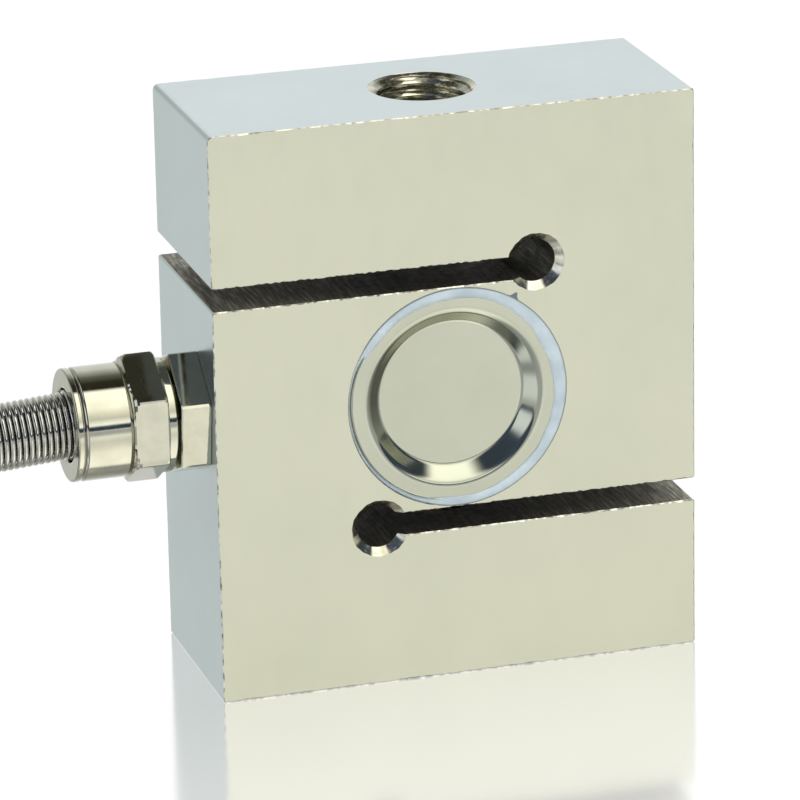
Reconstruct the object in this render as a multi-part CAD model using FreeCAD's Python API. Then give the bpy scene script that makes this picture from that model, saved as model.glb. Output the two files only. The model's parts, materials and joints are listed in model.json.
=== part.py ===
import FreeCAD, Part
import math
import os

# An S type load cell: one steel block sawn to an S, with strain gauges on a thin web
# inside two sealed pockets, and a cable that leaves through a gland with a spring guard.
# Millimetres. +Z is the load axis, the origin is the centre of the lower thread's mouth,
# the front face looks along -Y and the cable leaves along -X.

Vector = FreeCAD.Vector
X, Y, Z = Vector(1, 0, 0), Vector(0, 1, 0), Vector(0, 0, 1)

# ---- Spring element -------------------------------------------------------------------
width = 60.0                # along X
depth = 25.0                # along Y
height = 70.5               # along Z
edge_break = 0.25           # chamfer on the block's outer edges

web = 6.0                   # shear web between the gauge pockets, one in each face
slot_land = 0.25            # thinnest wall between a pocket and a slot
slot = 2.8                  # height of each saw cut
relief_dia = 5.3            # drilled end of each saw cut
relief_mouth_dia = 7.0      # countersunk mouth of that hole
relief_reach = 10.0         # from the load axis to the hole's centre
upper_relief_lift = 0.6     # upper hole's centre above the middle of its saw cut
lower_relief_drop = 0.2     # lower hole's centre below the middle of its saw cut

thread_dia = 12.0           # M12 load threads, bored here at their major diameter
thread_mouth_dia = 13.0     # countersink at each mouth

# ---- Seals over the pockets -----------------------------------------------------------
cup_dia = 26.0              # flange and skirt of the pressed cup
cup_sheet = 0.5             # sheet thickness
cup_skirt = 3.2             # depth of the skirt
cup_rim_dia = 21.5          # where the flange turns down into the cone
cup_floor_dia = 18.1        # flat floor
cup_floor_deep = 2.3        # floor below the flange
cup_gap = 0.6               # between the skirt and the pocket's wall
cup_set_in = 0.1            # flange below the block's face
cup_aside = 0.35            # the cups sit this far towards -X in their pockets
sealant_deep = 2.6          # how far the sealant runs down the gap
sealant_over = 0.5          # how far it laps on to the flange
sealant_proud = 0.2         # bead above the block's face
sealant_slope = 0.35        # width of the bead's slope down to the pocket's wall

# ---- Cable gland ----------------------------------------------------------------------
gland_ahead = 4.0           # gland axis in front of the middle plane
gland_drop = 0.85           # gland axis below mid height
gland_thread_dia = 12.0
gland_thread_long = 7.5
gland_hole_extra = 0.5      # the block's hole is this much deeper than the thread
body_hex = 13.7             # across flats
body_hex_long = 3.7
body_hex_turn = 7.8         # degrees
collar_dia = 13.8
collar_long = 1.45
spigot_dia = 11.4           # outer thread that carries the cap nut
spigot_long = 4.6
spigot_wall = 0.9
gland_bore_dia = 6.6        # clear hole for the cable
gland_seat = 1.0            # seat of the seal, outwards from the block's face
nut_hex = 13.9
nut_hex_long = 4.25
nut_hex_turn = -1.3         # degrees
nut_hex_bevel = 0.35        # turned bevel on the hexagon's outer end
sleeve_dia = 13.7
sleeve_long = 5.6
groove_wide = 0.4
groove_deep = 0.3
rim_long = 0.8
washer_thick = 1.0
washer_play = 0.2
washer_bore_play = 0.4
nut_shoulder = 0.8

# ---- Spring guard ---------------------------------------------------------------------
guard_wire = 0.7
guard_pitch = 0.76
guard_dia = 8.15            # outside
guard_turns = 26            # turns outside the gland
guard_droop = 4.25          # degrees below the gland's axis
guard_foot_dia = 9.4        # flared foot trapped inside the cap nut
guard_foot_play = 0.45      # round the foot, so that the guard can droop
guard_clear = 0.15          # round the spring in the rolled rim
guard_sides = 20            # flat sides that stand for the round of each turn

# ---- Cable ----------------------------------------------------------------------------
cable_dia = 5.0
jacket_start = 2.0          # jacket begins this far outside the block's face
coil_away = 114.5           # coil's centre, from the load axis towards -X
coil_aside = 22.0           # and towards +Y
coil_rings = 4
coil_layers = 6
coil_outer_turn = 32.0      # radius of the outermost turn's centre line
coil_stub = 18.2            # straight piece that runs into the coil
coil_lead = 7.25            # degrees between that piece and the X axis
tie_wide = 4.5
tie_thick = 0.9
end_sleeve_grip = 4.2
end_sleeve_over = 3.0
end_sleeve_wall = 0.3
core_dia = 1.3
core_spread = 0.78          # each core's offset from the cable's axis
core_tip_dia = 0.8
core_tip_long = 5.0
shield_dia = 0.8
core_straight = 4.0         # out of the sleeve before it bends
core_drop = 1.2             # first step down towards the floor
core_step = 4.5             # between the later bends
core_clear = 0.05           # above the floor
fine_sides = 8              # flat sides of a core or a fine wire

# ---- Gauges and wiring on the web -----------------------------------------------------
film_long, film_high, film_thick = 8.0, 8.0, 0.12
grid_long, grid_wide, grid_thick = 5.0, 1.6, 0.06
board_long, board_high, board_thick = 3.6, 13.0, 0.8
board_to_wall = 4.8         # board's middle from the pocket's wall
pad_long, pad_high, pad_thick = 2.4, 1.3, 0.1
pad_step = 2.2
resistor_size = (1.6, 0.45, 0.8)
lead_dia = 0.9
lead_spread = 0.7
passage_dia = 4.0
passage_ahead = 2.2         # passage axis in front of the web's face
web_hole_dia = 2.6
web_hole_land = 0.27        # between the wires' hole and the pocket's wall
jumper_dia = 0.5
jumper_gap = 1.0
gauge_wire_dia = 0.3
wire_lift = 0.06            # solder under a wire
wire_overlap = 0.3          # of a wire's end on its pad or tab
core_out = 1.5              # straight piece of a core out of the jacket
core_bend = 2.4             # a core turns to its pad this far before the board
core_on_board = 0.3

# ---- Places worked out from the sizes above -------------------------------------------
mid = height / 2
pocket_r = cup_dia / 2 + cup_gap
pocket_deep = (depth - web) / 2
slot_near = pocket_r + slot_land
slot_mid = slot_near + slot / 2
arm = mid - slot_near - slot
side = -width / 2
face = depth / 2
cable_r = cable_dia / 2
gland_y, gland_z = -gland_ahead, mid - gland_drop
hex_end = side - body_hex_long
collar_end = hex_end - collar_long
nut_hex_end = collar_end - nut_hex_long
sleeve_end = nut_hex_end - sleeve_long
nut_end = sleeve_end - groove_wide - rim_long
spigot_end = collar_end - spigot_long
spigot_bore_r = spigot_dia / 2 - spigot_wall
washer_end = spigot_end - washer_thick
shoulder_end = washer_end - nut_shoulder
guard_hole_r = guard_dia / 2 + guard_clear
guard_bore_r = guard_dia / 2 - guard_wire
passage_y = -web / 2 - passage_ahead
board_from_axis = pocket_r - board_to_wall
board_edge = -board_from_axis - board_long / 2
web_hole_drop = math.sqrt((pocket_r - web_hole_land - web_hole_dia / 2) ** 2 - board_from_axis ** 2)

shapes = {}


def revolve(points, axis):
    """Closed outline turned once about an axis through the origin."""
    wire = Part.makePolygon([Vector(*p) for p in points + points[:1]])
    return Part.Face(wire).revolve(Vector(), axis, 360)


def turned_x(outline, y=gland_y, z=gland_z):
    """Outline of (x, radius) pairs turned about a line along X."""
    solid = revolve([(x, r, 0) for x, r in outline], X)
    solid.translate(Vector(0, y, z))
    return solid


def turned_y(outline, x, z):
    """Outline of (radius, y) pairs turned about a line along Y."""
    solid = revolve([(r, y, 0) for r, y in outline], Y)
    solid.translate(Vector(x, 0, z))
    return solid


def box(x0, x1, y0, y1, z0, z1):
    return Part.makeBox(x1 - x0, y1 - y0, z1 - z0, Vector(x0, y0, z0))


def bar(start, end, radius):
    """Round bar between two points."""
    run = end - start
    return Part.makeCylinder(radius, run.Length, start, run)


def hexagon(across, x_from, x_to, turn):
    """Hexagonal bar along X on the gland's axis, a corner on top when turn is 0."""
    corner = across / math.sqrt(3)
    ring = []
    for k in range(7):
        angle = math.radians(90 + 60 * k + turn)
        ring.append(Vector(x_from, gland_y + corner * math.cos(angle), gland_z + corner * math.sin(angle)))
    return Part.Face(Part.makePolygon(ring)).extrude(Vector(x_to - x_from, 0, 0))


def flat_sided(rings, ends_meet=False):
    """Solid of flat four-cornered faces between rings of points that match one another."""
    following = rings[1:] + rings[:1] if ends_meet else rings[1:]
    faces = []
    for ring, after in zip(rings, following):
        for k in range(len(ring)):
            faces.append([ring[k - 1], ring[k], after[k], after[k - 1]])
    if not ends_meet:
        faces += [rings[0], rings[-1]]
    shell = Part.makeShell([Part.Face(Part.makePolygon(face + face[:1])) for face in faces])
    shell.sewShape()
    solid = Part.Solid(shell)
    if solid.Volume < 0:
        solid.reverse()
    return solid


def fine_wire(points, radius):
    """Thin wire along straight runs, flat-sided and mitred at its corners."""
    runs = [(after - before).normalize() for before, after in zip(points, points[1:])]
    across = runs[0].cross(Z if abs(runs[0].z) < 0.5 else X).normalize() * radius
    up = runs[0].cross(across)
    angles = [2 * math.pi * k / fine_sides for k in range(fine_sides)]
    rings = [[points[0] + across * math.cos(a) + up * math.sin(a) for a in angles]]
    for corner, run, next_run in zip(points[1:], runs, runs[1:] + runs[-1:]):
        mitre = run + next_run
        rings.append([p + run * ((corner - p).dot(mitre) / run.dot(mitre)) for p in rings[-1]])
    return flat_sided(rings)


def tube(name, points, radius):
    """Round bar along straight runs joined by the largest tangent arcs that they leave room for."""
    pieces, radii, length, start = [], [], 0, points[0]
    for before, corner, after in zip(points, points[1:], points[2:]):
        back, ahead = before - corner, after - corner
        turn = math.pi - back.getAngle(ahead)
        reach = 0.45 * min(back.Length, ahead.Length)
        bend = reach / math.tan(turn / 2)
        back.normalize()
        ahead.normalize()
        inwards = (back + ahead).normalize()
        centre = corner + inwards * math.hypot(reach, bend)
        arc_from, arc_to = corner + back * reach, corner + ahead * reach
        section = Part.Face(Part.Wire(Part.makeCircle(radius, arc_from, back)))
        pieces.append(bar(start, arc_from, radius))
        pieces.append(section.revolve(centre, ahead.cross(back), math.degrees(turn)))
        radii.append(round(bend, 1))
        length += (arc_from - start).Length + bend * turn
        start = arc_to
    pieces.append(bar(start, points[-1], radius))
    length += (points[-1] - start).Length
    solid = pieces[0].fuse(pieces[1:])
    ratio = solid.Volume / (math.pi * radius ** 2 * length)
    print(name, "length %.1f" % length, "volume ratio %.4f" % ratio, "radii", radii)
    return solid


# ---- Spring element -------------------------------------------------------------------
def saw_cut(sign):
    """Slot, relief hole and its countersinks; sign is 1 for the upper cut, -1 for the lower."""
    z = mid + sign * slot_mid
    open_x, end_x = -sign * (width / 2 + 1), sign * relief_reach
    cut = box(min(open_x, end_x), max(open_x, end_x), -face, face, z - slot / 2, z + slot / 2)
    hole_z = z + (upper_relief_lift if sign > 0 else -lower_relief_drop)
    hole_r, mouth_r = relief_dia / 2, relief_mouth_dia / 2
    mouth_deep = mouth_r - hole_r
    hole = turned_y([(0, -face), (mouth_r, -face), (hole_r, mouth_deep - face),
                     (hole_r, face - mouth_deep), (mouth_r, face), (0, face)], end_x, hole_z)
    return cut.fuse(hole)


def load_thread(z_mouth, up):
    """Threaded hole from its mouth to the saw cut; up is 1 when it runs upwards."""
    thread_r, mouth_r = thread_dia / 2, thread_mouth_dia / 2
    mouth_deep = mouth_r - thread_r
    outline = [(0, 0, z_mouth), (mouth_r, 0, z_mouth), (thread_r, 0, z_mouth + up * mouth_deep),
               (thread_r, 0, z_mouth + up * (arm + slot / 2)), (0, 0, z_mouth + up * (arm + slot / 2))]
    return revolve(outline, Z)


def spring_element():
    block = box(side, -side, -face, face, 0, height)
    block = block.makeChamfer(edge_break, block.Edges)
    pocket = Part.makeCylinder(pocket_r, pocket_deep, Vector(0, -face, mid), Y)
    rear_pocket = Part.makeCylinder(pocket_r, pocket_deep, Vector(0, web / 2, mid), Y)
    hole_long = gland_thread_long + gland_hole_extra
    gland_hole = bar(Vector(side, gland_y, gland_z), Vector(side + hole_long, gland_y, gland_z),
                     gland_thread_dia / 2)
    passage = bar(Vector(side + 1, passage_y, gland_z), Vector(2 - pocket_r, passage_y, gland_z),
                  passage_dia / 2)
    web_hole = Part.makeCylinder(web_hole_dia / 2, web, Vector(-board_from_axis, -web / 2, mid - web_hole_drop), Y)
    cuts = [pocket, rear_pocket, gland_hole, passage, web_hole, saw_cut(1), saw_cut(-1),
            load_thread(height, -1), load_thread(0, 1)]
    return block.cut(cuts)


# ---- Seals ----------------------------------------------------------------------------
def cup_outline():
    """Half section of the front cup: radius and depth below its flange."""
    outer, sheet = cup_dia / 2, cup_sheet
    rim, floor = cup_rim_dia / 2, cup_floor_dia / 2
    return [(0, cup_floor_deep), (floor, cup_floor_deep), (rim, 0), (outer, 0), (outer, cup_skirt),
            (outer - sheet, cup_skirt), (outer - sheet, sheet), (rim + sheet * 0.6, sheet),
            (floor + sheet * 0.6, cup_floor_deep + sheet), (0, cup_floor_deep + sheet)]


def seal_cup(sign):
    """sign is -1 for the front pocket and 1 for the rear one."""
    flange_y = face - cup_set_in
    return turned_y([(r, sign * (flange_y - deep)) for r, deep in cup_outline()], -cup_aside, mid)


def sealant(sign):
    """Soft ring in the gap round a cup, lapping on to its flange in a low bead."""
    inner, outer = cup_dia / 2 - sealant_over - cup_aside, pocket_r
    flange, bottom = face - cup_set_in, face - sealant_deep
    top = face + sealant_proud
    ring = turned_y([(inner, sign * bottom), (outer, sign * bottom), (outer, sign * face),
                     (outer - sealant_slope, sign * top), (inner, sign * flange)], 0, mid)
    cup_space = turned_y([(0, sign * flange), (cup_dia / 2, sign * flange),
                          (cup_dia / 2, sign * (face - pocket_deep)), (0, sign * (face - pocket_deep))],
                         -cup_aside, mid)
    return ring.cut(cup_space)


# ---- Gauges and wiring ----------------------------------------------------------------
def on_web(sign, x, z, size_x, size_z, thick, base=0.0):
    """Flat piece on the web's face, or on something of height base that lies on it."""
    near, far = sign * (web / 2 + base), sign * (web / 2 + base + thick)
    return box(x - size_x / 2, x + size_x / 2, min(near, far), max(near, far), z - size_z / 2, z + size_z / 2)


def strain_gauge(sign):
    """Shear rosette: two grids at 45 degrees either way on one film."""
    film = on_web(sign, 0, mid, film_long, film_high, film_thick)
    pieces = []
    for turn, aside in ((45, -1), (-45, 1)):
        grid = on_web(sign, 0, mid, grid_long, grid_wide, grid_thick, film_thick)
        grid.rotate(Vector(0, 0, mid), Y, turn)
        grid.translate(Vector(aside * film_long / 4.4, 0, 0))
        pieces.append(grid)
    return film.fuse(pieces).removeSplitter()


def pad_heights():
    return [mid + pad_step * (k - 2) for k in range(5)]


def terminal_board(sign):
    board = on_web(sign, -board_from_axis, mid, board_long, board_high, board_thick)
    pads = [on_web(sign, -board_from_axis, z, pad_long, pad_high, pad_thick, board_thick)
            for z in pad_heights()]
    return board.fuse(pads)


def gauge_wires(sign):
    """Three fine wires from the gauge's tabs to the board."""
    board_top = web / 2 + board_thick + pad_thick + gauge_wire_dia / 2 + wire_lift
    film_top = web / 2 + film_thick + gauge_wire_dia / 2 + wire_lift
    x_pad, x_film = -board_from_axis + pad_long / 2 - wire_overlap, -film_long / 2 + wire_overlap
    wires = [fine_wire([Vector(x_pad, sign * board_top, z), Vector(x_film, sign * film_top, z)],
                       gauge_wire_dia / 2)
             for z in pad_heights()[1:4]]
    return Part.makeCompound(wires)


def web_jumpers():
    """Two wires that join the front and rear boards through the web."""
    out = web / 2 + board_thick + pad_thick + jumper_dia / 2 + wire_lift
    pad_z, hole_z = pad_heights()[0], mid - web_hole_drop
    wires = []
    for x in (-board_from_axis - jumper_gap / 2, -board_from_axis + jumper_gap / 2):
        route = [Vector(x, -out, pad_z), Vector(x, -out, hole_z), Vector(x, out, hole_z), Vector(x, out, pad_z)]
        wires.append(fine_wire(route, jumper_dia / 2))
    return Part.makeCompound(wires)


def trim_resistor():
    size_x, thick, size_z = resistor_size
    z = pad_heights()[-1] + (pad_high + size_z) / 2 + 0.1
    return on_web(-1, -board_from_axis, z, size_x, size_z, thick, board_thick)


def inner_core(pad, aside, up):
    """One of the cable's cores, from the end of the jacket to its pad on the front board."""
    jacket_end = side - jacket_start
    y, z = gland_y + aside * lead_spread, gland_z + up * lead_spread
    y_in = passage_y + aside * lead_spread
    pad_z = pad_heights()[pad]
    pad_y = -web / 2 - board_thick - pad_thick - lead_dia / 2 - wire_lift
    route = [Vector(jacket_end, y, z), Vector(side + core_out, y, z),
             Vector(side + gland_thread_long, y_in, z), Vector(board_edge - core_bend, y_in, z),
             Vector(board_edge - core_on_board, pad_y, pad_z),
             Vector(-board_from_axis + core_on_board, pad_y, pad_z)]
    return fine_wire(route, lead_dia / 2)


# ---- Gland ----------------------------------------------------------------------------
def gland_body():
    """Threaded stem, hexagon, collar and the spigot that carries the cap nut."""
    stem_r, bore_r, spigot_r = gland_thread_dia / 2, gland_bore_dia / 2, spigot_dia / 2
    stem_end = side + gland_thread_long
    seat = side - gland_seat
    outline = [(stem_end, bore_r), (stem_end, stem_r), (side, stem_r), (hex_end, stem_r),
               (hex_end, collar_dia / 2), (collar_end, collar_dia / 2), (collar_end, spigot_r),
               (spigot_end, spigot_r), (spigot_end, spigot_bore_r), (seat, spigot_bore_r), (seat, bore_r)]
    hex_bar = hexagon(body_hex, side, hex_end, body_hex_turn)
    bore = bar(Vector(side, gland_y, gland_z), Vector(hex_end, gland_y, gland_z), stem_r)
    return turned_x(outline).fuse(hex_bar.cut(bore)).removeSplitter()


def gland_seal():
    """Rubber bush that the cap nut squeezes on to the cable."""
    seat = side - gland_seat
    return turned_x([(seat, cable_r), (seat, spigot_bore_r), (spigot_end, spigot_bore_r),
                     (spigot_end, cable_r)])


def gland_washer():
    inner, outer = cable_r + washer_bore_play, spigot_dia / 2 - washer_play
    return turned_x([(spigot_end, inner), (spigot_end, outer), (washer_end, outer), (washer_end, inner)])


def gland_cap_nut():
    """Hexagon with a long round sleeve, a turned groove and a rolled rim round the spring."""
    thread_r, sleeve_r = spigot_dia / 2, sleeve_dia / 2
    foot_r = guard_foot_dia / 2 + guard_foot_play
    rim_inner = nut_end + rim_long
    outline = [(nut_hex_end, thread_r), (nut_hex_end, sleeve_r), (sleeve_end, sleeve_r),
               (sleeve_end, sleeve_r - groove_deep), (sleeve_end - groove_wide, sleeve_r - groove_deep),
               (sleeve_end - groove_wide, sleeve_r), (nut_end, sleeve_r), (nut_end, guard_hole_r),
               (rim_inner, guard_hole_r), (rim_inner, foot_r), (shoulder_end, foot_r),
               (shoulder_end, guard_bore_r), (washer_end, guard_bore_r), (washer_end, thread_r)]
    corner = nut_hex / math.sqrt(3)
    bevel = turned_x([(collar_end, 0), (collar_end, corner + 1), (nut_hex_end + nut_hex_bevel, corner + 1),
                      (nut_hex_end + nut_hex_bevel, corner), (nut_hex_end, sleeve_r), (nut_hex_end, 0)])
    hex_bar = hexagon(nut_hex, collar_end, nut_hex_end, nut_hex_turn).common(bevel)
    bore = bar(Vector(collar_end, gland_y, gland_z), Vector(nut_hex_end, gland_y, gland_z), thread_r)
    return turned_x(outline).fuse(hex_bar.cut(bore)).removeSplitter()


# ---- Spring guard ---------------------------------------------------------------------
def guard_axis(distance):
    """Point on the guard's axis, measured outwards from the gland's end face."""
    droop = math.radians(guard_droop)
    return Vector(nut_end - distance * math.cos(droop), gland_y, gland_z - distance * math.sin(droop))


def spring_guard():
    """Close-wound wire, drawn as one ridge for each turn, with a flared foot inside the nut."""
    outer, foot_r = guard_dia / 2, guard_foot_dia / 2
    root = outer - guard_wire / 2
    foot_from, foot_to = rim_long + guard_foot_play, shoulder_end - nut_end - guard_foot_play
    outline = [(foot_to, guard_bore_r), (foot_to, foot_r), (foot_from, foot_r), (foot_from, root), (0, root)]
    for k in range(guard_turns):
        outline.append((-(k + 0.5) * guard_pitch, outer))
        outline.append((-(k + 1) * guard_pitch, root))
    outline.append((-guard_turns * guard_pitch, guard_bore_r))
    angles = [2 * math.pi * k / guard_sides for k in range(guard_sides)]
    guard = flat_sided([[Vector(x, r * math.cos(a), r * math.sin(a)) for a in angles] for x, r in outline],
                       ends_meet=True)
    guard.rotate(Vector(), Y, -guard_droop)
    guard.translate(guard_axis(0))
    return guard


# ---- Cable ----------------------------------------------------------------------------
coil_at = Vector(-coil_away, coil_aside, 0)
coil_high = coil_layers * cable_dia
coil_outer_r = coil_outer_turn + cable_r
coil_inner_r = coil_outer_turn - (coil_rings - 0.5) * cable_dia
top_turn_z = coil_high - cable_r
coil_slant = Vector(math.cos(math.radians(coil_lead)), math.sin(math.radians(coil_lead)), 0)
coil_touch = Z.cross(coil_slant) * -coil_outer_turn
coil_in = coil_at + coil_touch + coil_slant * coil_stub + Z * top_turn_z
coil_out = Vector(coil_in.x, 2 * coil_aside - coil_in.y, cable_r)

# From inside the gland, through the spring guard and down on to the top of the coil.
cable_route = [Vector(side - jacket_start, gland_y, gland_z), guard_axis(0), guard_axis(20.0),
               coil_in + coil_slant * 13.0, coil_in]
# From the bottom of the coil to the bare end, on the floor.
tail_slant = Vector(coil_slant.x, -coil_slant.y, 0)
tail_route = [coil_out, coil_out + tail_slant * 8.0, coil_out + tail_slant * 16.0 + Z * 0.75]


def coil_solid():
    """Outline of the whole coil, with a short straight piece where the cable joins it."""
    ring = revolve([(coil_inner_r, 0, 0), (coil_outer_r, 0, 0), (coil_outer_r, 0, coil_high),
                    (coil_inner_r, 0, coil_high)], Z)
    ring.translate(coil_at)
    stubs = [bar(end, end - slant * coil_stub, cable_r)
             for end, slant in ((coil_in, coil_slant), (coil_out, tail_slant))]
    return ring.fuse(stubs)


def tie_band():
    """Strap round the coil's section, let in flush with its outline."""
    inner, outer, thick = coil_inner_r, coil_outer_r, tie_thick
    frame = box(inner - thick, outer + thick, -tie_wide / 2, tie_wide / 2, 0, coil_high + thick)
    hole = box(inner, outer, -tie_wide / 2, tie_wide / 2, thick, coil_high)
    head = box(inner - 3 * thick, inner - thick, -tie_wide / 2 - thick, tie_wide / 2 + thick,
               coil_high * 0.35, coil_high * 0.35 + 4 * thick)
    band = frame.cut(hole).fuse(head)
    band.rotate(Vector(), Z, 180)
    band.translate(coil_at)
    return band


def end_axis(distance):
    """Point on the line of the cable's bare end, measured outwards from the jacket."""
    run = tail_route[-1] - tail_route[-2]
    run.normalize()
    return tail_route[-1] + run * distance


def end_sleeve():
    """Shrunk sleeve over the end of the jacket."""
    outer = bar(end_axis(-end_sleeve_grip), end_axis(end_sleeve_over), cable_r + end_sleeve_wall)
    return outer.cut(bar(end_axis(-end_sleeve_grip), end_axis(end_sleeve_over), cable_r))


def flat(point):
    return Vector(point.x, point.y, 0)


def end_core_route(aside, up, splay):
    """Route of one core beyond the jacket: out of the sleeve, then down to the floor and apart."""
    run = end_axis(1) - end_axis(0)
    across = Vector(-run.y, run.x, 0).normalize()
    start = end_axis(0) + across * (aside * core_spread) + run.cross(across) * (up * core_spread)
    floor = core_dia / 2 + core_clear
    route = [start, start + run * core_straight]
    heights = [max(floor, route[1].z - core_drop), floor, floor]
    for k, height_here in enumerate(heights):
        along, apart = core_straight + (k + 1) * core_step, splay * (k + 0.4)
        route.append(flat(start + run * along + across * apart) + Z * height_here)
    return route


def core_tip(route):
    """Bare tinned end that carries a core's route straight on."""
    run = (route[-1] - route[-2]).normalize()
    return fine_wire([route[-1], route[-1] + run * core_tip_long], core_tip_dia / 2)


def end_cores():
    places = {"red": (1, 1, 2.6), "black": (1, -1, 1.1), "green": (-1, 1, -2.6), "white": (-1, -1, -1.1)}
    tips = []
    for colour, place in places.items():
        route = end_core_route(*place)
        shapes["end_core_" + colour] = fine_wire(route, core_dia / 2)
        tips.append(core_tip(route))
    shapes["core_tips"] = Part.makeCompound(tips)
    shapes["shield_tail"] = fine_wire(end_core_route(0, 0, 0.1), shield_dia / 2)


# ---- Build ----------------------------------------------------------------------------
def build():
    shapes["spring_element"] = spring_element()
    for name, sign in (("front", -1), ("rear", 1)):
        shapes[name + "_seal_cup"] = seal_cup(sign)
        shapes[name + "_sealant"] = sealant(sign)
        shapes[name + "_strain_gauge"] = strain_gauge(sign)
        shapes[name + "_terminal_board"] = terminal_board(sign)
        shapes[name + "_gauge_wires"] = gauge_wires(sign)
    shapes["web_jumpers"] = web_jumpers()
    shapes["trim_resistor"] = trim_resistor()
    for colour, pad, aside, up in (("black", 1, 1, -1), ("white", 2, -1, -1), ("green", 3, 1, 1), ("red", 4, -1, 1)):
        shapes["inner_core_" + colour] = inner_core(pad, aside, up)
    shapes["gland_body"] = gland_body()
    shapes["cable"] = tube("cable", cable_route, cable_r)
    shapes["gland_seal"] = gland_seal()
    shapes["gland_washer"] = gland_washer()
    shapes["gland_cap_nut"] = gland_cap_nut()
    shapes["spring_guard"] = spring_guard()
    band = tie_band()
    shapes["cable_coil"] = coil_solid().cut(band)
    shapes["cable_tie"] = band
    shapes["cable_tail"] = tube("cable_tail", tail_route, cable_r)
    shapes["cable_end_sleeve"] = end_sleeve()
    end_cores()


build()
os.makedirs("parts", exist_ok=True)
for node, shape in shapes.items():
    shape.exportStep("parts/" + node + ".step")
print(len(shapes), "nodes")
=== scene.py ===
import json
import math
import bmesh
import bpy
from mathutils import Matrix, Vector, geometry, noise


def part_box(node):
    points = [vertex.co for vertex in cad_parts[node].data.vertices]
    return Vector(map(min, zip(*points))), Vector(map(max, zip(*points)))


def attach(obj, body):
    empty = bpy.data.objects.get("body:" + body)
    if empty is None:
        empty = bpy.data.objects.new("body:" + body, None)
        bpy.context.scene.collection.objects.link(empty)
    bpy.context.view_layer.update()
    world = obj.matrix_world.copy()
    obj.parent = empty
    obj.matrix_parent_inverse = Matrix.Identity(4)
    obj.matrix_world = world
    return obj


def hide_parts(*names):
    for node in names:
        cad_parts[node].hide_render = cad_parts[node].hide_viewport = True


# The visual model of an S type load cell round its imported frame: millimetres in the
# functions below, metres in Blender. +Z is the load axis and the front looks along -Y.
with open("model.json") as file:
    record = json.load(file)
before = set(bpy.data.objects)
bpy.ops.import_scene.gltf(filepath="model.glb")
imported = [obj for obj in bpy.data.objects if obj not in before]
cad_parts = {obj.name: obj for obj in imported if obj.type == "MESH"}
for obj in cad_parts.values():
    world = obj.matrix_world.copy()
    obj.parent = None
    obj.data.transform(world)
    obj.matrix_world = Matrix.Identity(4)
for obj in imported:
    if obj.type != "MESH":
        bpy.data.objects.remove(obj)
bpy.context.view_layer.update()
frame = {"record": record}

MM = 0.001

# ---- Sizes, nearly all as in the part's source ----------------------------------------
block_low, block_high = (Vector(corner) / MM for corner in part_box("spring_element"))
side, face, top = block_low.x, block_high.y, block_high.z
mid = top / 2
web = 6.0
pocket_r = 13.6
slot_near, slot = 13.85, 2.8
relief_r, relief_mouth_r, relief_reach = 2.65, 3.5, 10.0
upper_lift, lower_drop = 0.6, 0.2
thread_r, thread_root_r, thread_mouth_r, thread_pitch = 6.0, 5.4, 6.5, 1.5
arm = mid - slot_near - slot
# Only in the visual model: the least turn of a sharp corner in radians, the parts and
# reach of its rounding, and the width of the broken edges.
corner_turn, corner_parts = 1.2, 5
corner_reach, upper_left_reach = 0.35, 0.9
edge_middle, edge_most = 0.12, 0.2

cup_r, cup_skirt, cup_sheet = 13.0, 3.2, 0.5
cup_rim_r, cup_floor_r, cup_floor_deep = 10.75, 9.05, 1.8
cup_set_in, cup_aside = 0.1, 0.35
sealant_proud, sealant_deep = 0.2, 2.6

gland_y, gland_z = -4.0, mid - 0.85
gland_thread_r, gland_thread_long = 6.0, 7.5
body_hex, body_hex_end, body_hex_turn = 13.7, side - 3.7, 7.8
collar_r, collar_end = 6.9, body_hex_end - 1.45
spigot_r, spigot_end = 5.7, collar_end - 4.6
nut_hex, nut_hex_end, nut_hex_turn = 13.9, collar_end - 4.25, -1.3
sleeve_r, sleeve_end = 6.85, nut_hex_end - 5.6
groove_wide, groove_deep = 0.4, 0.3
gland_end = Vector((sleeve_end - groove_wide - 0.8, gland_y, gland_z))

guard_droop = math.radians(4.25)
guard_r, guard_wire, guard_pitch, guard_turns = 4.075, 0.64, 0.76, 26

cable_dia = 5.0
coil_centre = Vector((-114.5, 22.0, 0))
coil_outer, coil_inner, coil_pitch = 32.0, 17.0, 5.25
coil_layers, coil_steps = 6, 24
coil_stub, coil_lead = 18.2, math.radians(7.25)
coil_turns = 18.5 + coil_lead / math.pi


# ---- Materials ------------------------------------------------------------------------
def add_node(tree, kind, inputs=(), **settings):
    """Shader node; each input is a value, or another node's output to link."""
    made = tree.nodes.new("ShaderNode" + kind)
    for key, value in settings.items():
        setattr(made, key, value)
    for key, value in dict(inputs).items():
        if isinstance(value, bpy.types.NodeSocket):
            tree.links.new(value, made.inputs[key])
        else:
            made.inputs[key].default_value = value
    return made


def mix(tree, amount, first, second):
    """Blend of two colours."""
    return add_node(tree, "Mix", {0: amount, 6: first, 7: second}, data_type="RGBA").outputs[2]


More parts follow.
